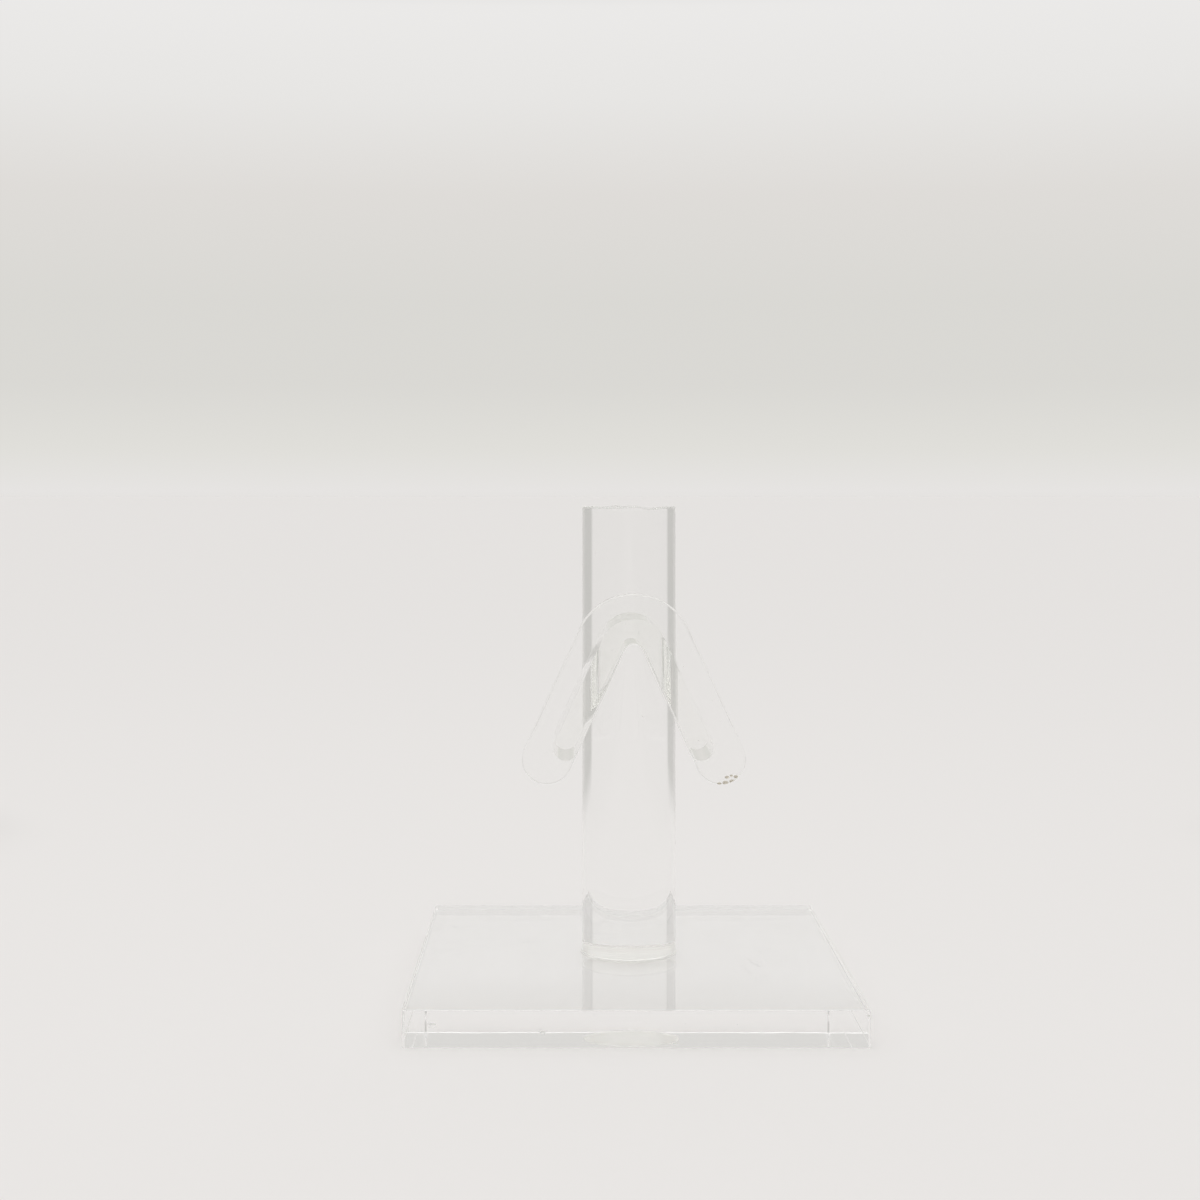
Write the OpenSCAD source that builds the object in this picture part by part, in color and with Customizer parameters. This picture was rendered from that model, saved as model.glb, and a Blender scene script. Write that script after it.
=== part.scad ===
// Eyeglasses display stand in clear acrylic.
// A flat base plate carries an upright round rod. A nose-shaped saddle stands out from the
// front of the rod, and an upright lip closes its free end, so that a pair of glasses hangs
// on the saddle by its bridge. The four pieces are held together by three cement joints.
//
// X runs to the right, Y to the back and Z up. The origin is the middle of the base's underside.

/* [Base plate] */
// Width of the base plate, side to side
base_w = 80; // [60:1:140]
// Depth of the base plate, front to back
base_d = 90; // [80:1:160]
// Thickness of the base plate
base_t = 6.4; // [3:0.1:12]
// Radius of the four upright corners of the base plate
base_corner_r = 0.5; // [0.2:0.1:6]

/* [Post] */
// Diameter of the round post
post_d = 18; // [15:0.5:24]
// Length of the post
post_l = 85.6; // [75:0.1:200]
// How far the post stands behind the middle of the base plate
post_back = 1; // [0:0.5:15]

/* [Saddle] */
// Length of the saddle from the front of the post to the back of the lip
saddle_l = 20.5; // [12:0.5:32]
// Thickness of the saddle's wall
saddle_wall = 4.3; // [2:0.1:6]
// Radius of the hollow under the top of the arch
arch_r = 1.8; // [1:0.1:5]
// Angle between a leg of the arch and the upright
leg_angle = 24.6; // [15:0.1:35]
// Length of the straight part of each saddle leg
saddle_leg_l = 20.4; // [12:0.1:22]
// How far the saddle's end reaches round the post, past the front of the post
seat_wrap = 4; // [2:0.5:5]

/* [Lip] */
// Thickness of the lip
lip_t = 3; // [2:0.5:5]
// How far the lip stands up round the outside of the saddle
lip_rim = 4.6; // [3:0.1:8]
// Length of the straight part of each lip leg
lip_leg_l = 23.3; // [22:0.1:26]
// How far the top of the lip lies below the top of the post
lip_drop = 15.4; // [5:0.1:25]

/* [Cement joints] */
// Thickness of each film of cement
cement_t = 0.1; // [0.05:0.05:0.3]
// Width of the bead squeezed out round each joint
cement_bead = 0.3; // [0.1:0.1:0.8]

/* [Hidden] */
$fn = 96;

// Degrees between the points that draw the hollow face of the foot's bead
bead_step = 15;

post_r = post_d / 2;
foot_z = base_t + cement_t;
post_top_z = foot_z + post_l;

saddle_r = arch_r + saddle_wall;
lip_r = saddle_r + lip_rim;
arch_z = post_top_z - lip_drop - lip_r;

seat_r = post_r + cement_t;
post_front_y = post_back - post_r;
saddle_back_y = post_front_y + seat_wrap;
saddle_front_y = post_front_y - saddle_l;
lip_back_y = saddle_front_y - cement_t;

// Outline of a plate with four round corners, centred on the origin
module rounded_plate(w, d, r) {
    square([w, d - 2 * r], center = true);
    square([w - 2 * r, d], center = true);
    for (x = [-1, 1], y = [-1, 1])
        translate([x * (w / 2 - r), y * (d / 2 - r)])
            circle(r);
}

// One straight leg of the arch with its round end, pointing down and to the right
module arch_leg(inner, outer, leg_l) {
    rotate(leg_angle) {
        translate([0, -leg_l])
            square([outer, leg_l]);
        translate([(inner + outer) / 2, -leg_l])
            circle((outer - inner) / 2);
    }
}

// The hollow of the arch: round at its top, widening downwards between the two legs
module arch_hollow(inner, reach) {
    top_x = inner * cos(leg_angle);
    top_z = inner * sin(leg_angle);
    end_x = top_x + reach * sin(leg_angle);
    end_z = top_z - reach * cos(leg_angle);
    circle(inner);
    polygon([[-top_x, top_z], [top_x, top_z], [end_x, end_z], [-end_x, end_z]]);
}

// Outline of the nose-shaped arch, seen from the front, with its centre on the origin
module arch_profile(inner, outer, leg_l) {
    difference() {
        union() {
            circle(outer);
            arch_leg(inner, outer, leg_l);
            mirror([1, 0])
                arch_leg(inner, outer, leg_l);
        }
        arch_hollow(inner, leg_l + outer);
    }
}

// The arch's outline given a depth, from its back face forwards
module arch_solid(inner, outer, leg_l, back_y, depth) {
    translate([0, back_y, arch_z])
        rotate([90, 0, 0])
            linear_extrude(depth)
                arch_profile(inner, outer, leg_l);
}

// A round bar on the post's axis, as tall as the stand
module post_bar(r) {
    translate([0, post_back, 0])
        cylinder(r = r, h = post_top_z);
}

module base_plate() {
    color("#e4e8e8", 0.35)
        linear_extrude(base_t)
            rounded_plate(base_w, base_d, base_corner_r);
}

module post_rod() {
    color("#e6eaea", 0.35)
        translate([0, post_back, foot_z])
            cylinder(r = post_r, h = post_l);
}

module nose_saddle() {
    color("#e8ecec", 0.35)
        difference() {
            arch_solid(arch_r, saddle_r, saddle_leg_l, saddle_back_y, saddle_l + seat_wrap);
            post_bar(seat_r);
        }
}

module front_lip() {
    color("#eaeeee", 0.35)
        arch_solid(arch_r, lip_r, lip_leg_l, lip_back_y, lip_t);
}

// Film under the post, with the bead that runs round its foot
module foot_cement() {
    bead_r = post_r + cement_bead;
    bead_z = cement_t + cement_bead;
    hollow = [for (a = [0:bead_step:90]) [bead_r - cement_bead * sin(a), bead_z - cement_bead * cos(a)]];
    color("#d8dcd8", 0.5)
        translate([0, post_back, base_t])
            rotate_extrude()
                polygon(concat([[0, 0], [bead_r, 0]], hollow, [[post_r, cement_t], [0, cement_t]]));
}

// Film between the saddle's hollow end and the post
module seat_cement() {
    inner = arch_r - cement_bead;
    outer = saddle_r + cement_bead;
    color("#d8dcd8", 0.5)
        difference() {
            intersection() {
                arch_solid(inner, outer, saddle_leg_l, saddle_back_y, 2 * seat_wrap);
                post_bar(seat_r);
            }
            post_bar(post_r);
        }
}

// Film between the saddle's front face and the lip
module lip_cement() {
    inner = arch_r - cement_bead;
    outer = saddle_r + cement_bead;
    color("#d8dcd8", 0.5)
        arch_solid(inner, outer, saddle_leg_l, saddle_front_y, cement_t);
}

base_plate();
post_rod();
nose_saddle();
front_lip();
foot_cement();
seat_cement();
lip_cement();
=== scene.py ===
"""Looks of the eyeglasses display stand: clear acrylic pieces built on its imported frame."""

import logging
import math
from dataclasses import dataclass, field
from enum import Enum
from typing import Callable

import bmesh
import bpy
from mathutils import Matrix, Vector


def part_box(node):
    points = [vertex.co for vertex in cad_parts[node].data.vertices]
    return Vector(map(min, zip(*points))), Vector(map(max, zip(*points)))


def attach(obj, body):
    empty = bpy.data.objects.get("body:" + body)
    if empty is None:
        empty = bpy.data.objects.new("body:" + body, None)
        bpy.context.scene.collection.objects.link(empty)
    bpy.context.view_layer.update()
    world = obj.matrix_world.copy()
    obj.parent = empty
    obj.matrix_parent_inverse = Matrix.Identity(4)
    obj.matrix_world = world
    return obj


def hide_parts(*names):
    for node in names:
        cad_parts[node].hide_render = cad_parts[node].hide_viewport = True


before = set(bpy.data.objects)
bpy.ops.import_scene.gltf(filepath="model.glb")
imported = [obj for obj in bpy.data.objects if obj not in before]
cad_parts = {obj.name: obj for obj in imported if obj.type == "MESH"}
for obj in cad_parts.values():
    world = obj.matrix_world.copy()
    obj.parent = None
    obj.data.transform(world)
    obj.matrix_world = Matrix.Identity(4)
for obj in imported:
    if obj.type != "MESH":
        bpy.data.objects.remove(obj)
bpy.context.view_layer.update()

LOG = logging.getLogger("stand")
MM = 0.001
ACRYLIC_INDEX = 1.49
SAME_PLACE = 1e-6
MERGED = 1e-7
PLANE_AREA = 9 * MM * MM
STRAIGHT_ON = 0.9999
BACKDROP_EDGE = (0.72, 0.79)
Test = Callable[[Vector, Vector], bool]


class Pick(Enum):
    """What a selection in edit mode is made of."""

    FACES = "FACE"
    EDGES = "EDGE"


class Bench:
    """Modelling moves on the active piece, so that each maker reads as a list of steps."""

    @staticmethod
    def clear() -> None:
        """Leaves edit mode and selects nothing."""
        if bpy.context.object and bpy.context.object.mode != "OBJECT":
            bpy.ops.object.mode_set(mode="OBJECT")
        bpy.ops.object.select_all(action="DESELECT")

    @staticmethod
    def take(piece: bpy.types.Object) -> None:
        """Makes one piece the selected and active one."""
        Bench.clear()
        piece.select_set(True)
        bpy.context.view_layer.objects.active = piece

    @staticmethod
    def adopt(name: str, scale: tuple[float, float, float] = (1, 1, 1)) -> bpy.types.Object:
        """Names a new primitive and puts its place and scale into its mesh.

        Args:
            name: name of the piece and of its mesh.
            scale: how far the primitive is stretched along its own axes.

        Returns:
            The piece, with its object at the origin.
        """
        piece = bpy.context.object
        piece.name = piece.data.name = name
        piece.scale = scale
        bpy.ops.object.transform_apply(location=True, rotation=True, scale=True)
        return piece

    @staticmethod
    def edit(piece: bpy.types.Object) -> None:
        """Opens one piece in edit mode with all of it selected."""
        Bench.take(piece)
        bpy.ops.object.mode_set(mode="EDIT")
        bpy.ops.mesh.select_all(action="SELECT")

    @staticmethod
    def pick(what: Pick, test: Test) -> None:
        """Selects the faces or edges that pass a test, and nothing else.

        Args:
            what: faces or edges.
            test: takes a face's centre and normal, or an edge's middle and direction.
        """
        bpy.ops.mesh.select_mode(type=what.value)
        bpy.ops.mesh.select_all(action="DESELECT")
        mesh = bmesh.from_edit_mesh(bpy.context.object.data)
        mesh.normal_update()
        for part in mesh.faces if what is Pick.FACES else mesh.edges:
            if what is Pick.FACES:
                passed = test(part.calc_center_median(), part.normal)
            else:
                start, end = (v.co for v in part.verts)
                passed = test((start + end) / 2, (end - start).normalized())
            if passed:
                part.select_set(True)
        mesh.select_flush_mode()
        bmesh.update_edit_mesh(bpy.context.object.data)

    @staticmethod
    def push(step: Vector) -> None:
        """Extrudes the selected faces along a step."""
        bpy.ops.mesh.extrude_region_move(TRANSFORM_OT_translate={"value": tuple(step)})

    @staticmethod
    def soften(width: float, segments: int = 2, profile: float = 0.5) -> None:
        """Bevels the selected edges."""
        bpy.ops.mesh.bevel(
            offset=width, offset_type="OFFSET", segments=segments, profile=profile, affect="EDGES"
        )

    @staticmethod
    def paint(slot: int) -> None:
        """Gives the selected faces one of the piece's material slots."""
        bpy.context.object.active_material_index = slot
        bpy.ops.object.material_slot_assign()

    @staticmethod
    def close() -> None:
        """Cleans the piece in edit mode and leaves it."""
        bpy.ops.mesh.select_mode(type="VERT")
        bpy.ops.mesh.select_all(action="SELECT")
        bpy.ops.mesh.remove_doubles(threshold=MERGED)
        bpy.ops.mesh.normals_make_consistent(inside=False)
        bpy.ops.object.mode_set(mode="OBJECT")

    @staticmethod
    def carve(piece: bpy.types.Object, cutter: bpy.types.Object) -> None:
        """Takes a cutter out of a piece; the cut faces take the cutter's finish."""
        Bench.take(piece)
        cut = piece.modifiers.new("carve", "BOOLEAN")
        cut.operation, cut.solver, cut.object = "DIFFERENCE", "EXACT", cutter
        cut.material_mode = "TRANSFER"
        bpy.ops.object.modifier_apply(modifier=cut.name)
        bpy.data.objects.remove(cutter)

    @staticmethod
    def shade(piece: bpy.types.Object, flat_from: float | None = None, front: bool = False) -> None:
        """Smooths round faces and keeps the plane ones flat.

        Args:
            piece: the piece.
            flat_from: area in square metres from which a face is plane, or None for none.
            front: whether the faces that look straight to the front or back are plane too.
        """
        Bench.take(piece)
        bpy.ops.object.shade_smooth_by_angle(angle=math.radians(40.0))
        if flat_from is None:
            return
        Bench.edit(piece)
        bpy.ops.mesh.select_mode(type="FACE")
        bpy.ops.mesh.select_all(action="DESELECT")
        mesh = bmesh.from_edit_mesh(piece.data)
        for face in mesh.faces:
            faces_front = front and abs(face.normal.y) > STRAIGHT_ON
            face.select_set(face.calc_area() > flat_from or faces_front)
        bmesh.update_edit_mesh(piece.data)
        bpy.ops.mesh.faces_shade_flat()
        bpy.ops.object.mode_set(mode="OBJECT")


class Number:
    """A number that varies over a surface; arithmetic on it adds Math nodes."""

    def __init__(self, recipe: "Recipe", socket: bpy.types.NodeSocket) -> None:
        """Wraps one output socket of a recipe."""
        self.recipe, self.socket = recipe, socket

    def math(self, operation: str, *others: "Number | float", first: bool = True) -> "Number":
        """Adds one Math node.

        Args:
            operation: the Math node's operation.
            others: the other terms.
            first: whether this number is the first term or the second.

        Returns:
            The node's result.
        """
        terms = [self, *others] if first else [*others, self]
        node = self.recipe.add("ShaderNodeMath", {"operation": operation}, dict(enumerate(terms)))
        return Number(self.recipe, node.outputs[0])

    def __add__(self, other: "Number | float") -> "Number":
        """Sum."""
        return self.math("ADD", other)

    def __sub__(self, other: "Number | float") -> "Number":
        """Difference."""
        return self.math("SUBTRACT", other)

    def __rsub__(self, other: "Number | float") -> "Number":
        """Difference, with this number taken away."""
        return self.math("SUBTRACT", other, first=False)

    def __mul__(self, other: "Number | float") -> "Number":
        """Product."""
        return self.math("MULTIPLY", other)

    def __truediv__(self, other: "Number | float") -> "Number":
        """Quotient."""
        return self.math("DIVIDE", other)

    def __pow__(self, other: "Number | float") -> "Number":
        """Power."""
        return self.math("POWER", other)

    def above(self, other: "Number | float") -> "Number":
        """The larger of the two."""
        return self.math("MAXIMUM", other)

    def below(self, other: "Number | float") -> "Number":
        """The smaller of the two."""
        return self.math("MINIMUM", other)

    def size(self) -> "Number":
        """Size without sign."""
        return self.math("ABSOLUTE")

    def rise(self, low: float, high: float) -> "Number":
        """0 up to low, 1 from high on, and a smooth rise between."""
        node = self.recipe.add(
            "ShaderNodeMapRange",
            {"interpolation_type": "SMOOTHSTEP", "clamp": True},
            {"Value": self, "From Min": low, "From Max": high, "To Min": 0.0, "To Max": 1.0},
        )
        return Number(self.recipe, node.outputs["Result"])


class Recipe:
    """The node tree of one finish, filled through a single method."""

    def __init__(self, tree: bpy.types.NodeTree) -> None:
        """Starts an empty tree."""
        tree.nodes.clear()
        self.tree = tree

    def add(self, kind: str, settings: dict | None = None, values: dict | None = None) -> bpy.types.Node:
        """Adds one node.

        Args:
            kind: the node's type.
            settings: its settings by name, and a ramp's stops under "stops".
            values: values or links of its input sockets, by name or index.

        Returns:
            The node.
        """
        node = self.tree.nodes.new(kind)
        for name, value in (settings or {}).items():
            if name == "stops":
                self._stops(node.color_ramp, value)
            else:
                setattr(node, name, value)
        for name, value in (values or {}).items():
            if isinstance(value, Number):
                value = value.socket
            if isinstance(value, bpy.types.NodeSocket):
                self.tree.links.new(value, node.inputs[name])
            else:
                node.inputs[name].default_value = value
        return node

    @staticmethod
    def _stops(ramp: bpy.types.ColorRamp, stops: list[tuple[float, tuple]]) -> None:
        """Sets a colour ramp's stops."""
        while len(ramp.elements) < len(stops):
            ramp.elements.new(0.5)
        for element, (place, colour) in zip(ramp.elements, stops):
            element.position, element.color = place, (*colour, 1.0)

    def place(self, scale: tuple = (1, 1, 1), turn: tuple = (0, 0, 0)) -> bpy.types.NodeSocket:
        """Place on the piece in metres, stretched and turned."""
        where = self.add("ShaderNodeTexCoord").outputs["Object"]
        values = {"Vector": where, "Scale": scale, "Rotation": turn}
        return self.add("ShaderNodeMapping", None, values).outputs[0]

    def noise(
        self, where: bpy.types.NodeSocket, scale: float, detail: float = 2.0, rough: float = 0.5
    ) -> Number:
        """Soft noise around one half."""
        values = {"Vector": where, "Scale": scale, "Detail": detail, "Roughness": rough}
        return Number(self, self.add("ShaderNodeTexNoise", None, values).outputs["Fac"])

    def specks(self, cell: float, share: float, radius: tuple[float, float]) -> Number:
        """Mask of small round specks, one or none in each cell.

        Args:
            cell: distance between cells, in metres.
            share: part of the cells that hold a speck.
            radius: smallest and largest radius, in cells.

        Returns:
            1 on a speck and 0 elsewhere.
        """
        values = {"Vector": self.place(), "Scale": 1 / cell, "Randomness": 1.0}
        cells = self.add("ShaderNodeTexVoronoi", {"feature": "F1"}, values)
        split = self.add("ShaderNodeSeparateColor", None, {"Color": cells.outputs["Color"]})
        chance, spread = (Number(self, split.outputs[i]) for i in (0, 1))
        reach = spread * (radius[1] - radius[0]) + radius[0]
        inside = (reach - Number(self, cells.outputs["Distance"])).rise(0.0, 0.02)
        return inside * chance.rise(1 - share - 0.001, 1 - share + 0.001)

    def streaks(self, turn: tuple, stretch: float, scale: float, cut: tuple[float, float]) -> Number:
        """Mask of fine straight scratches in one direction."""
        where = self.place(scale=(1, 1, stretch), turn=turn)
        return self.noise(where, scale, 1.0).rise(*cut)

    def mix(
        self, share: "Number | float", low: bpy.types.NodeSocket, high: bpy.types.NodeSocket
    ) -> bpy.types.NodeSocket:
        """Mixes two shaders."""
        return self.add("ShaderNodeMixShader", None, {0: share, 1: low, 2: high}).outputs[0]

    def show(self, shader: bpy.types.NodeSocket) -> None:
        """Sends a shader to the surface."""
        self.add("ShaderNodeOutputMaterial", None, {"Surface": shader})


class Finish:
    """Base of the finishes: each makes its material once."""

    name: str

    def recipe(self, made: Recipe) -> None:
        """Fills the node tree."""
        raise NotImplementedError

    def material(self) -> bpy.types.Material:
        """Returns the finish's material, made the first time it is asked for."""
        made = bpy.data.materials.get(self.name)
        if made is None:
            made = bpy.data.materials.new(self.name)
            made.use_nodes = True
            self.recipe(Recipe(made.node_tree))
        return made


@dataclass(frozen=True)
class PolishedAcrylic(Finish):
    """Clear cast acrylic with handling scratches and a little dust."""

    name: str
    tint: tuple = (0.992, 0.993, 0.990)
    bend: float = ACRYLIC_INDEX
    polish: float = 0.004
    ripple_mm: float = 0.004
    ripple_size: float = 140.0
    scratch_cut: tuple = (0.70, 0.76)
    dust_share: float = 0.10
    grain: tuple = (0.0, 0.0, 0.0)
    soil: tuple = (0.86, 0.85, 0.82)
    scuff: float = 0.0

    def recipe(self, made: Recipe) -> None:
        """Ripples and scratches go to the bump, wear to the roughness and dust on top."""
        long_marks = made.streaks(self.grain, 0.02, 900.0, self.scratch_cut)
        cross = (self.grain[0] + 0.9, self.grain[1] + 0.5, self.grain[2] + 0.3)
        cross_marks = made.streaks(cross, 0.015, 700.0, self.scratch_cut)
        wear = made.noise(made.place(), 60.0, 4.0, 0.6).rise(0.45, 0.75)
        marks = (long_marks + cross_marks).below(1.0) * (wear * 0.8 + 0.2)
        ripple = made.noise(made.place(), self.ripple_size, 1.0)
        height = ripple - marks * 0.12
        bump = made.add(
            "ShaderNodeBump", None, {"Strength": 1.0, "Distance": self.ripple_mm * MM, "Height": height}
        )
        smear = made.noise(made.place(), 220.0, 5.0, 0.7).rise(0.5, 0.8)
        rough = marks * 0.16 + smear * 0.02 + self.polish
        clear = made.add(
            "ShaderNodeBsdfPrincipled",
            None,
            {
                "Base Color": (*self.tint, 1.0),
                "Transmission Weight": 1.0,
                "IOR": self.bend,
                "Roughness": rough,
                "Normal": bump.outputs[0],
            },
        ).outputs[0]
        lint = made.add(
            "ShaderNodeBsdfPrincipled",
            None,
            {"Base Color": (*self.soil, 1.0), "Roughness": 0.9},
        ).outputs[0]
        share = made.specks(1.3 * MM, self.dust_share, (0.03, 0.09)) * 0.7
        if self.scuff:
            share = (share + (smear * 0.7 + wear * 0.5 + marks * 0.6 + 0.3) * self.scuff).below(1.0)
        made.show(made.mix(share, clear, lint))


@dataclass(frozen=True)
class SawnAcrylic(Finish):
    """Sawn end of an acrylic rod: frosted, with the saw's tracks."""

    name: str = "sawn_acrylic"
    tint: tuple = (0.80, 0.81, 0.785)
    bend: float = ACRYLIC_INDEX

    def recipe(self, made: Recipe) -> None:
        """Saw tracks run from front to back, finer marks across them."""
        tracks = made.noise(made.place(scale=(1, 0.06, 0.2)), 1500.0, 3.0, 0.6)
        grit = made.noise(made.place(), 4200.0, 3.0, 0.7)
        height = tracks * 0.8 + grit * 0.3
        bump = made.add(
            "ShaderNodeBump", None, {"Strength": 1.0, "Distance": 0.06 * MM, "Height": height}
        )
        rough = tracks.rise(0.35, 0.7) * 0.25 + 0.22
        body = made.add(
            "ShaderNodeBsdfPrincipled",
            None,
            {
                "Base Color": (*self.tint, 1.0),
                "Transmission Weight": 1.0,
                "IOR": self.bend,
                "Roughness": rough,
                "Normal": bump.outputs[0],
            },
        )
        made.show(body.outputs[0])


@dataclass(frozen=True)
class BondedFace(Finish):
    """Face that cement has made one with its neighbour: light passes it straight."""

    name: str = "bonded_face"
    tint: tuple = (0.999, 0.999, 0.998)
    thick_tint: tuple = (0.991, 0.992, 0.989)
    haze: float = 0.0
    haze_tone: tuple = (0.97, 0.965, 0.945)

    def recipe(self, made: Recipe) -> None:
        """A clear passage, dimmed a little where the cement lies thick, with haze if there is any."""
        thick = made.noise(made.place(), 500.0, 3.0).rise(0.4, 0.8)
        colour = made.add(
            "ShaderNodeMix",
            {"data_type": "RGBA"},
            {0: thick, 6: (*self.tint, 1.0), 7: (*self.thick_tint, 1.0)},
        )
        passage = made.add("ShaderNodeBsdfTransparent", None, {"Color": colour.outputs[2]})
        shader = passage.outputs[0]
        if self.haze:
            cloud = {"Color": (*self.haze_tone, 1.0)}
            lit = made.add("ShaderNodeBsdfDiffuse", None, cloud).outputs[0]
            glow = made.add("ShaderNodeBsdfTranslucent", None, cloud).outputs[0]
            shader = made.mix((thick * 0.1 + 0.95) * self.haze, shader, made.mix(0.5, lit, glow))
        made.show(shader)


@dataclass(frozen=True)
class CementFilm(Finish):
    """Thin cured cement: clear, with a faint gloss and trapped bubbles."""

    name: str = "cement_film"
    gloss: float = 0.006
    tint: tuple = (0.997, 0.998, 0.996)
    bubble_tone: tuple = (0.88, 0.89, 0.88)

    def recipe(self, made: Recipe) -> None:
        """Bubbles and a faint sheen over a clear passage."""
        bubbles = made.specks(0.7 * MM, 0.16, (0.08, 0.22))
        share = (bubbles * 0.22 + self.gloss).below(1.0)
        passage = made.add("ShaderNodeBsdfTransparent", None, {"Color": (*self.tint, 1.0)})
        sheen = made.add(
            "ShaderNodeBsdfPrincipled",
            None,
            {"Base Color": (*self.bubble_tone, 1.0), "Roughness": bubbles * 0.2 + 0.15},
        )
        made.show(made.mix(share, passage.outputs[0], sheen.outputs[0]))


def heading(x: Number, y: Number) -> Number:
    """1 straight towards the backdrop, 0 to its sides and -1 away from it."""
    return y / (x * x + y * y).above(SAME_PLACE) ** 0.5


@dataclass(frozen=True)
class TableSheet(Finish):
    """Pale matt sheet that the stand is set on, with painted shade darkening it to its sides."""

    name: str = "table_sheet"
    tone: tuple = (0.785, 0.772, 0.763)
    # colour of the painted shade at the sheet's sides
    side_shade_tone: tuple = (0.56, 0.555, 0.54)
    side_shade_from: float = 0.15
    side_shade_to: float = 0.24

    def recipe(self, made: Recipe) -> None:
        """The sheet keeps its pale tone round the stand and towards the backdrop, and its colour is
        painted darker to its sides as painted shade.
        """
        across = made.add("ShaderNodeSeparateXYZ", None, {0: made.place()})
        x, y = (Number(made, across.outputs[i]) for i in (0, 1))
        lit = heading(x, y).rise(*BACKDROP_EDGE)
        # painted shade: mixes the sheet's colour towards the darker side tone to the left and right, away
        # from the backdrop
        side = x.size().rise(self.side_shade_from, self.side_shade_to) * (1 - lit)
        fibre = made.noise(made.place(), 2500.0, 3.0)
        share = side + (fibre - 0.5) * 0.02
        colour = made.add(
            "ShaderNodeMix",
            {"data_type": "RGBA", "clamp_factor": True},
            {0: share, 6: (*self.tone, 1.0), 7: (*self.side_shade_tone, 1.0)},
        )
        body = made.add(
            "ShaderNodeBsdfPrincipled",
            None,
            {"Base Color": colour.outputs[2], "Roughness": 0.9, "Specular IOR Level": 0.1},
        )
        made.show(body.outputs[0])


CLEAR_ROD = PolishedAcrylic("clear_rod", grain=(0.0, 0.0, 0.0), ripple_mm=0.003, dust_share=0.06)
CLEAR_PLATE = PolishedAcrylic("clear_plate", grain=(1.45, 0.0, 0.6), ripple_mm=0.002)
UNDERSIDE = PolishedAcrylic(
    "scuffed_underside", soil=(0.36, 0.35, 0.33), scuff=0.018, scratch_cut=(0.64, 0.72)
)
CLEAR_SADDLE = PolishedAcrylic("clear_saddle", grain=(1.5, 0.0, 0.0), ripple_mm=0.010, ripple_size=260.0)
CLEAR_LIP = PolishedAcrylic("clear_lip", grain=(0.0, 0.5, 0.0), dust_share=0.22, scratch_cut=(0.66, 0.72))
SAWN = SawnAcrylic()
FRAYED = SawnAcrylic("frayed_acrylic", tint=(0.42, 0.37, 0.28))
BONDED = BondedFace()
FOOT_BOND = BondedFace("foot_bond", haze=0.6)
FILM = CementFilm()


def finishes(piece: bpy.types.Object, *kinds: Finish) -> None:
    """Fills a piece's material slots, in order."""
    piece.data.materials.clear()
    for kind in kinds:
        piece.data.materials.append(kind.material())


@dataclass
class Arch:
    """Nose-shaped band: two straight legs with round ends, joined by an arc."""

    inner: float
    outer: float
    leg: float
    lean_deg: float
    centre_z: float
    arc_steps: int = 56
    end_steps: int = 14

    def build(self, name: str, front_y: float, back_y: float) -> bpy.types.Object:
        """Sweeps the band's section up one leg, over the top and down the other.

        Args:
            name: name of the piece.
            front_y: where the band starts.
            back_y: where the band ends.

        Returns:
            The band as a closed mesh, left in edit mode.
        """
        lean = math.radians(self.lean_deg)
        half, width = (self.outer - self.inner) / 2, self.outer - self.inner
        middle_y = (front_y + back_y) / 2
        centre = Vector((0, middle_y, self.centre_z))
        down = Vector((math.sin(lean), 0, -math.cos(lean)))
        across = Vector((math.cos(lean), 0, math.sin(lean)))
        reach = self.leg + half
        start = centre + across * (self.inner + half) + down * reach
        Bench.clear()
        bpy.ops.mesh.primitive_plane_add(size=1, location=start, rotation=(0, -lean, 0))
        piece = Bench.adopt(name, (width, back_y - front_y, 1))
        Bench.edit(piece)
        Bench.push(-down * reach)
        bpy.ops.mesh.spin(
            steps=self.arc_steps, angle=math.pi - 2 * lean, center=centre, axis=(0, 1, 0)
        )
        Bench.push(Vector((-down.x, 0, down.z)) * reach)
        bpy.ops.mesh.select_all(action="SELECT")
        bpy.ops.mesh.remove_doubles(threshold=MERGED)
        bpy.ops.mesh.normals_make_consistent(inside=False)

        def at_end(middle: Vector, along: Vector) -> bool:
            """Whether an edge is one of the four that close the legs."""
            side = Vector((abs(middle.x), 0, middle.z - self.centre_z))
            return abs(along.y) > 0.9 and side.dot(down) > reach * 0.999

        Bench.pick(Pick.EDGES, at_end)
        Bench.soften(half * 0.998, self.end_steps)
        return piece


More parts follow.
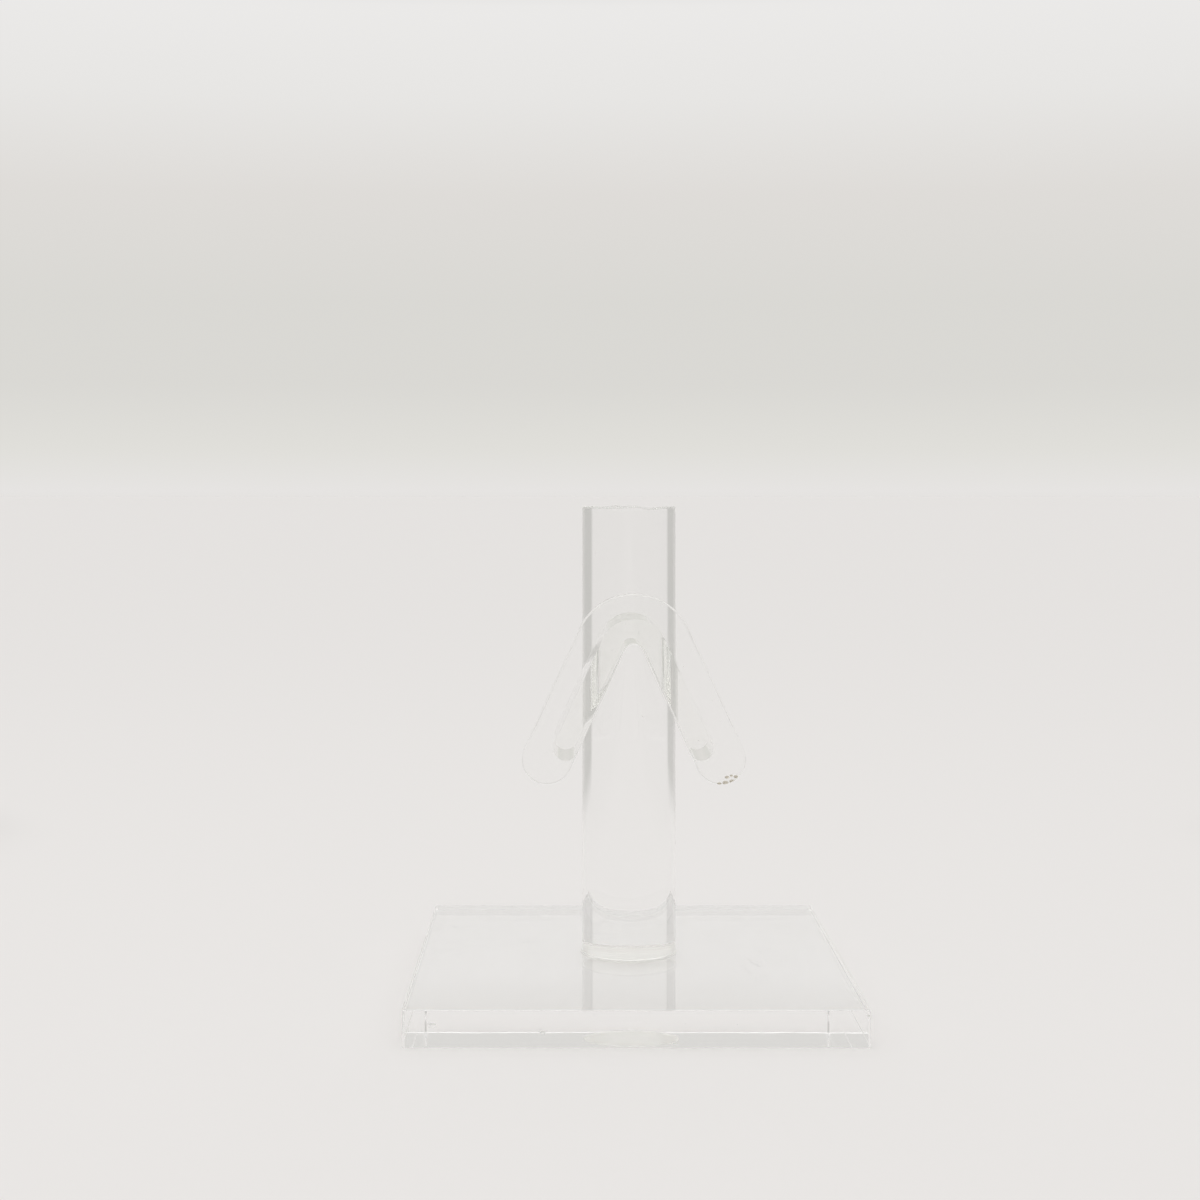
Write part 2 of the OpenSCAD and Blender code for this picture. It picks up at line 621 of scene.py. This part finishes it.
@dataclass
class Base:
    """Flat base plate with polished edges."""

    low: Vector
    high: Vector
    post_centre: Vector
    bond_radius: float
    corner: float = 0.5 * MM
    edge: float = 0.09 * MM
    bond_depth: float = 0.01 * MM
    chip_out: float = 0.62
    chips: tuple = (
        (-0.0348, -1, 0.62, 0.55), (-0.0160, -1, 0.42, 0.40), (0.0066, -1, 0.12, 0.35),
        (-0.0164, 1, 0.93, 0.60), (0.0312, 1, 0.90, 0.35), (0.0405, -1, 0.85, 0.45),
    )

    def build(self) -> bpy.types.Object:
        """Makes the plate: a slab with round corners, polished edges and small chips."""
        Bench.clear()
        bpy.ops.mesh.primitive_cube_add(size=1, location=(self.low + self.high) / 2)
        plate = Bench.adopt("clear_base", tuple(self.high - self.low))
        finishes(plate, CLEAR_PLATE, UNDERSIDE)
        Bench.edit(plate)
        Bench.pick(Pick.EDGES, lambda middle, along: abs(along.z) > 0.9)
        Bench.soften(self.corner, 4)

        def on_rim(middle: Vector, along: Vector) -> bool:
            """Whether an edge runs round the top or the bottom."""
            away = min(abs(middle.z - self.low.z), abs(middle.z - self.high.z))
            return abs(along.z) < 0.1 and away < SAME_PLACE

        Bench.pick(Pick.EDGES, on_rim)
        Bench.soften(self.edge, 3)
        Bench.pick(Pick.FACES, lambda middle, normal: normal.z < -0.99)
        Bench.paint(1)
        Bench.close()
        self._bond(plate)
        self._chip(plate)
        Bench.shade(plate, PLANE_AREA)
        return plate

    def _bond(self, plate: bpy.types.Object) -> None:
        """Marks the round spot under the post where the plate is cemented."""
        Bench.clear()
        spot = (self.post_centre.x, self.post_centre.y, self.high.z + MM / 2 - self.bond_depth)
        bpy.ops.mesh.primitive_cylinder_add(
            vertices=128, radius=self.bond_radius, depth=MM, location=spot
        )
        cutter = Bench.adopt("bond_cutter")
        finishes(cutter, FOOT_BOND)
        Bench.carve(plate, cutter)

    def _chip(self, plate: bpy.types.Object) -> None:
        """Knocks small shell-shaped chips out of the front and back edges."""
        for x, side, level, size_mm in self.chips:
            Bench.clear()
            size = size_mm * MM
            y = (self.low.y if side < 0 else self.high.y) + side * size * self.chip_out
            z = self.low.z + level * (self.high.z - self.low.z)
            spot = (min(x, self.high.x - 0.2 * MM), y, z)
            bpy.ops.mesh.primitive_ico_sphere_add(subdivisions=3, radius=size, location=spot)
            cutter = Bench.adopt("chip_cutter", (1.6, 1.0, 0.8))
            finishes(cutter, SAWN)
            Bench.carve(plate, cutter)


@dataclass
class Post:
    """Round rod with a sawn, slightly wavy top, and the cement round its foot."""

    low: Vector
    high: Vector
    base_top: float
    bead_top: float
    bead_radius: float
    steps: int = 192
    wave: float = 0.9 * MM
    wave_size: float = 4.4
    wave_stretch: float = 14.0
    wave_level: float = 0.74
    rim: float = 0.30 * MM
    bond_depth: float = 0.01 * MM
    bond_share: float = 0.97
    centre: Vector = field(init=False)
    radius: float = field(init=False)
    bond_radius: float = field(init=False)

    def __post_init__(self) -> None:
        """Works out the rod's axis and radius from its box."""
        self.centre = (self.low + self.high) / 2
        self.radius = (self.high.x - self.low.x) / 2
        self.bond_radius = self.radius * self.bond_share

    def build(self) -> bpy.types.Object:
        """Makes the rod with its sawn top and its bonded foot."""
        Bench.clear()
        bpy.ops.mesh.primitive_cylinder_add(
            vertices=self.steps,
            radius=self.radius,
            depth=self.high.z - self.low.z,
            location=self.centre,
            end_fill_type="NGON",
        )
        rod = Bench.adopt("clear_post")
        finishes(rod, CLEAR_ROD, SAWN, BONDED)
        Bench.edit(rod)
        Bench.pick(Pick.EDGES, lambda middle, along: middle.z > self.high.z - SAME_PLACE)
        Bench.soften(self.rim, 2)
        Bench.pick(Pick.FACES, lambda middle, normal: normal.z > 0.999)
        bpy.ops.mesh.delete(type="ONLY_FACE")
        Bench.pick(Pick.EDGES, lambda middle, along: abs(middle.z - self.high.z) < SAME_PLACE)
        bpy.ops.mesh.fill_grid(span=self.steps // 4)
        for level in (self.bead_top, self.high.z - 1.5 * MM):
            bpy.ops.mesh.select_all(action="SELECT")
            bpy.ops.mesh.bisect(plane_co=(0, 0, level), plane_no=(0, 0, 1))
        Bench.pick(Pick.FACES, lambda middle, normal: normal.z > 0.2)
        Bench.paint(1)
        Bench.pick(Pick.FACES, lambda middle, normal: middle.z < self.bead_top and abs(normal.z) < 0.5)
        Bench.paint(2)
        Bench.pick(Pick.FACES, lambda middle, normal: normal.z < -0.9)
        bpy.ops.mesh.inset(thickness=self.radius - self.bond_radius)
        Bench.paint(2)
        Bench.close()
        self._saw(rod)
        return rod

    def _saw(self, rod: bpy.types.Object) -> None:
        """Lowers the top in shallow waves that run from front to back."""
        top = rod.vertex_groups.new(name="top")
        top.add([v.index for v in rod.data.vertices if v.co.z > self.high.z - 2 * self.rim], 1.0, "ADD")
        Bench.clear()
        bpy.ops.object.empty_add(location=(self.centre.x + 0.0031, self.centre.y, self.high.z))
        guide = bpy.context.object
        guide.scale = (MM, MM * self.wave_stretch, MM)
        swell = bpy.data.textures.new("saw_swell", "CLOUDS")
        swell.noise_scale, swell.noise_depth = self.wave_size, 2
        bpy.context.view_layer.update()
        Bench.take(rod)
        shift = rod.modifiers.new("saw", "DISPLACE")
        shift.texture, shift.texture_coords, shift.texture_coords_object = swell, "OBJECT", guide
        shift.vertex_group, shift.direction = "top", "Z"
        shift.mid_level, shift.strength = self.wave_level, self.wave
        bpy.ops.object.modifier_apply(modifier=shift.name)
        bpy.data.objects.remove(guide)
        rod.vertex_groups.clear()

    def foot(self) -> bpy.types.Object:
        """Makes the cement under the rod, with the hollow bead round its foot."""
        Bench.clear()
        height = self.bead_top - self.base_top
        spot = (self.centre.x, self.centre.y, self.base_top + height / 2)
        bpy.ops.mesh.primitive_cylinder_add(
            vertices=128, radius=self.bead_radius, depth=height, location=spot
        )
        bead = Bench.adopt("foot_bead")
        finishes(bead, CLEAR_ROD, BONDED)
        Bench.edit(bead)
        Bench.pick(Pick.FACES, lambda middle, normal: normal.z > 0.9)
        bpy.ops.mesh.inset(thickness=self.bead_radius - self.radius)
        Bench.push(Vector((0, 0, self.low.z - self.bead_top)))
        Bench.paint(1)
        axis = Vector((self.centre.x, self.centre.y, 0))

        def outer_rim(middle: Vector, along: Vector) -> bool:
            """Whether an edge lies on the bead's outer top rim."""
            away = (middle - axis).to_2d().length
            on_top = abs(along.z) < 0.1 and middle.z > self.bead_top - SAME_PLACE
            return on_top and away > self.bead_radius * 0.995

        Bench.pick(Pick.EDGES, outer_rim)
        Bench.soften((self.bead_radius - self.radius) * 0.97, 6, 0.12)

        def touching(middle: Vector, normal: Vector) -> bool:
            """Whether a face lies against the rod or the plate."""
            inward = (axis - middle).to_2d()
            facing_in = normal.to_2d().length > 0.9 and normal.to_2d().dot(inward) > 0
            return normal.z < -0.9 or facing_in or middle.z < self.low.z + SAME_PLACE

        Bench.pick(Pick.FACES, touching)
        Bench.paint(1)
        Bench.close()
        Bench.shade(bead)
        return bead


@dataclass
class NoseRest:
    """Saddle that carries the glasses' bridge, and the lip that keeps them on it."""

    saddle_low: Vector
    saddle_high: Vector
    lip_low: Vector
    lip_high: Vector
    post: Post
    inner: float = 1.8 * MM
    wall: float = 4.3 * MM
    rim: float = 4.6 * MM
    saddle_leg: float = 20.4 * MM
    lip_leg: float = 23.3 * MM
    lean_deg: float = 24.6
    film: float = 0.1 * MM
    edge: float = 0.28 * MM
    bond_depth: float = 0.01 * MM
    gate_marks: tuple = (
        (49, 0.90, 0.36), (63, 0.97, 0.44), (79, 0.94, 0.46),
        (94, 0.96, 0.34), (71, 0.74, 0.34), (57, 0.76, 0.26),
    )
    gate_proud: float = 0.07 * MM
    saddle_arch: Arch = field(init=False)
    lip_arch: Arch = field(init=False)

    def __post_init__(self) -> None:
        """Works out both outlines, which share the hollow under the arch."""
        outer = self.inner + self.wall
        centre_z = self.saddle_high.z - outer
        self.saddle_arch = Arch(self.inner, outer, self.saddle_leg, self.lean_deg, centre_z)
        self.lip_arch = Arch(self.inner, outer + self.rim, self.lip_leg, self.lean_deg, centre_z)

    def _post_cutter(self, radius: float) -> bpy.types.Object:
        """Makes a bar on the post's axis that cuts bonded faces."""
        Bench.clear()
        bpy.ops.mesh.primitive_cylinder_add(
            vertices=self.post.steps, radius=radius, depth=0.08, location=self.post.centre
        )
        cutter = Bench.adopt("post_cutter")
        finishes(cutter, BONDED)
        return cutter

    def saddle(self) -> bpy.types.Object:
        """Makes the saddle, hollowed at the back to sit on the rod."""
        piece = self.saddle_arch.build("clear_saddle", self.saddle_low.y, self.saddle_high.y)
        finishes(piece, CLEAR_SADDLE, BONDED)
        Bench.pick(Pick.FACES, lambda middle, normal: normal.y < -0.9)
        Bench.paint(1)
        Bench.close()
        Bench.carve(piece, self._post_cutter(self.post.radius + self.film))
        Bench.shade(piece, PLANE_AREA, front=True)
        return piece

    def lip(self) -> bpy.types.Object:
        """Makes the lip with softened front edges and the mark of the saddle's joint."""
        piece = self.lip_arch.build("clear_lip", self.lip_low.y, self.lip_high.y)
        finishes(piece, CLEAR_LIP)

        def on_front_rim(middle: Vector, along: Vector) -> bool:
            """Whether an edge runs round the front face."""
            in_front = middle.y < self.lip_low.y + SAME_PLACE and abs(along.y) < 0.1
            return in_front and self._outline(middle)

        Bench.pick(Pick.EDGES, on_front_rim)
        Bench.soften(self.edge, 3)
        Bench.close()
        self._gate(piece)
        joint_y = self.lip_high.y - self.bond_depth
        joint = self.saddle_arch.build("joint_cutter", joint_y, self.lip_high.y + MM)
        Bench.close()
        finishes(joint, BONDED)
        Bench.carve(piece, joint)
        Bench.shade(piece, PLANE_AREA, front=True)
        return piece

    def _gate(self, lip: bpy.types.Object) -> None:
        """Leaves the frayed mark under the right lobe where the lip was broken off its strip."""
        lean = math.radians(self.lean_deg)
        arch = self.lip_arch
        half, out = (arch.outer - arch.inner) / 2, (arch.outer + arch.inner) / 2
        lobe_x = out * math.cos(lean) + arch.leg * math.sin(lean)
        lobe_z = arch.centre_z + out * math.sin(lean) - arch.leg * math.cos(lean)
        for angle_deg, out_share, size_mm in self.gate_marks:
            angle = math.radians(angle_deg)
            Bench.clear()
            away = half * out_share
            x, z = lobe_x + away * math.cos(angle), lobe_z - away * math.sin(angle)
            spot = (x, self.lip_low.y - self.gate_proud, z)
            bpy.ops.mesh.primitive_ico_sphere_add(subdivisions=2, radius=size_mm * MM, location=spot)
            cutter = Bench.adopt("gate_cutter", (1.2, 1.3, 0.8))
            finishes(cutter, FRAYED)
            Bench.carve(lip, cutter)

    def _outline(self, middle: Vector) -> bool:
        """Whether a point of the front face lies on the outline and not across the band."""
        lean = math.radians(self.lean_deg)
        x, z = abs(middle.x), middle.z - self.lip_arch.centre_z
        over = x * math.cos(lean) + z * math.sin(lean)
        along = z * math.cos(lean) - x * math.sin(lean)
        away = math.hypot(over, max(along, 0.0))
        half = (self.lip_arch.outer - self.lip_arch.inner) / 2
        off = math.hypot(away - self.lip_arch.inner - half, max(-along - self.lip_leg, 0.0))
        return off > half * 0.9

    def seat_mark(self, rod: bpy.types.Object) -> None:
        """Marks where the saddle is cemented to the rod."""
        joint = self.saddle_arch.build("seat_cutter", self.saddle_low.y, self.saddle_high.y)
        Bench.close()
        finishes(joint, BONDED)
        Bench.carve(joint, self._post_cutter(self.post.radius - self.bond_depth))
        Bench.carve(rod, joint)
        Bench.shade(rod)


BACKDROP_TONES = [
    (0.0, (0.79, 0.774, 0.759)),
    (0.02, (0.745, 0.735, 0.70)),
    (0.05, (0.70, 0.69, 0.66)),
    (0.09, (0.70, 0.69, 0.66)),
    (0.14, (0.735, 0.715, 0.69)),
    (0.185, (0.80, 0.79, 0.775)),
    (0.226, (0.83, 0.82, 0.81)),
    (0.243, (0.71, 0.70, 0.68)),
    (0.30, (0.71, 0.70, 0.68)),
    (0.5, (0.99, 0.98, 0.97)),
    (1.0, (1.26, 1.25, 1.24)),
]


@dataclass
class Studio:
    """Pale table, soft light all round and the camera."""

    focal_px: float = 2080.0
    frame_px: float = 1200.0
    eye: tuple = (-0.01121, -0.3994, 0.0951)
    shift: tuple = (0.0245, -0.0917)
    lamp_height: float = 0.75
    lamp_side: float = 0.45
    lamp_power: float = 0.25
    table_side: float = 60.0
    table_gap: float = 0.06 * MM
    side_dim: float = 0.28
    seam_dim: float = 0.12
    room_light: float = 0.35

    def table(self) -> None:
        """Lays the sheet just under the stand."""
        Bench.clear()
        bpy.ops.mesh.primitive_plane_add(size=self.table_side, location=(0, 0, -self.table_gap))
        sheet = Bench.adopt("table")
        finishes(sheet, TableSheet())

    def light(self) -> None:
        """Adds the softbox overhead and the pale surroundings."""
        Bench.clear()
        bpy.ops.object.light_add(type="AREA", location=(-0.08, -0.05, self.lamp_height))
        lamp = bpy.context.object
        lamp.name = "softbox"
        lamp.data.shape, lamp.data.size, lamp.data.energy = "SQUARE", self.lamp_side, self.lamp_power
        world = bpy.data.worlds.new("studio")
        world.use_nodes = True
        bpy.context.scene.world = world
        self._sky(Recipe(world.node_tree))

    def _sky(self, made: Recipe) -> None:
        """Backdrop tone by height, dimmer to the sides and a little dimmer behind the camera."""
        aim = made.add("ShaderNodeTexCoord").outputs["Generated"]
        parts = made.add("ShaderNodeSeparateXYZ", None, {0: aim})
        x, y, z = (Number(made, parts.outputs[i]) for i in range(3))
        tone = made.add("ShaderNodeValToRGB", {"stops": BACKDROP_TONES}, {0: z.size()})
        ahead = heading(x, y)
        lit = ahead.rise(*BACKDROP_EDGE)
        seam = ahead.rise(0.705, 0.725) * (1 - lit)
        room = 1 - ahead.rise(-0.35, -0.05)
        low = 1 - z.size().rise(0.45, 0.8)
        side = (1 - lit) * (1 - room * self.room_light)
        strength = 1 - (side * self.side_dim + seam * self.seam_dim) * low
        shade = made.add(
            "ShaderNodeBackground", None, {"Color": tone.outputs[0], "Strength": strength}
        )
        made.add("ShaderNodeOutputWorld", None, {"Surface": shade.outputs[0]})

    def camera(self) -> None:
        """Sets the camera level, a little higher than the stand's top."""
        Bench.clear()
        bpy.ops.object.camera_add(location=self.eye, rotation=(math.pi / 2, 0, 0))
        camera = bpy.context.object
        camera.data.lens = self.focal_px / self.frame_px * camera.data.sensor_width
        camera.data.shift_x, camera.data.shift_y = self.shift
        bpy.context.scene.camera = camera


def keep(piece: bpy.types.Object, slot: str, *nodes: str) -> None:
    """Lets a new piece ride on the stand and stand for its CAD nodes."""
    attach(piece, "root")
    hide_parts(*nodes)
    LOG.info("%s: %d faces, stands for %s", piece.name, len(piece.data.polygons), ", ".join(nodes))


def let_light_through(bounces: int) -> None:
    """Lets light cross and turn inside the clear pieces as often as it needs to."""
    cycles = bpy.context.scene.cycles
    for limit in ("max_bounces", "glossy_bounces", "transmission_bounces", "transparent_max_bounces"):
        setattr(cycles, limit, bounces)
    cycles.blur_glossy = 0.0


def main() -> None:
    """Builds the stand piece by piece, then the studio round it."""
    logging.basicConfig(level=logging.INFO, format="%(name)s: %(message)s")
    bpy.context.scene.view_settings.view_transform = "Standard"

    plate_low, plate_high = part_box("base_plate")
    bead_low, bead_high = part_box("foot_cement")
    rod_low, rod_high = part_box("post_rod")
    bead_radius = (bead_high.x - bead_low.x) / 2

    post = Post(rod_low, rod_high, bead_low.z, bead_high.z, bead_radius)
    base = Base(plate_low, plate_high, post.centre, post.bond_radius)
    rest = NoseRest(*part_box("nose_saddle"), *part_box("front_lip"), post)

    keep(base.build(), "sheet_acrylic", "base_plate")
    rod = post.build()
    rest.seat_mark(rod)
    keep(rod, "rod_acrylic", "post_rod")
    keep(post.foot(), "cement", "foot_cement")
    keep(rest.saddle(), "saddle_acrylic", "nose_saddle")
    keep(rest.lip(), "lip_acrylic", "front_lip")
    for name in ("seat_cement", "lip_cement"):
        finishes(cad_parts[name], FILM)
        LOG.info("%s: shown as packed", name)

    studio = Studio()
    studio.table()
    studio.light()
    studio.camera()
    let_light_through(400)


if __name__ == "__main__":
    main()
